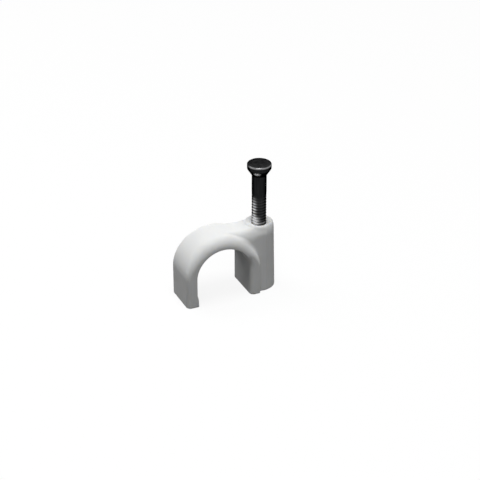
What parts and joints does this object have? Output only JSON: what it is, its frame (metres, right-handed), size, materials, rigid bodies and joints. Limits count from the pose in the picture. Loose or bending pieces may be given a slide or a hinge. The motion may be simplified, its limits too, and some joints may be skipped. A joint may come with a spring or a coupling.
{
  "type": "nail-in cable clip",
  "caption": "Moulded plastic hook that pins a round cable to a wall, with a hardened nail standing half driven in its side boss.",
  "frame": {"origin": "centre of the bounding box on the plane of the feet, which is the wall's surface", "axes": "+Z away from the wall, along the nail towards its head; +Y along the cable; +X from the hook's free leg towards the nail"},
  "size_m": [0.0146, 0.0058, 0.0195],
  "materials": {
    "white_plastic": "satin moulded",
    "dark_steel": "hardened, dark, semi-gloss"
  },
  "bodies": {
    "root": {"clip_body": "white_plastic", "nail": "dark_steel"}
  },
  "joints": []
}
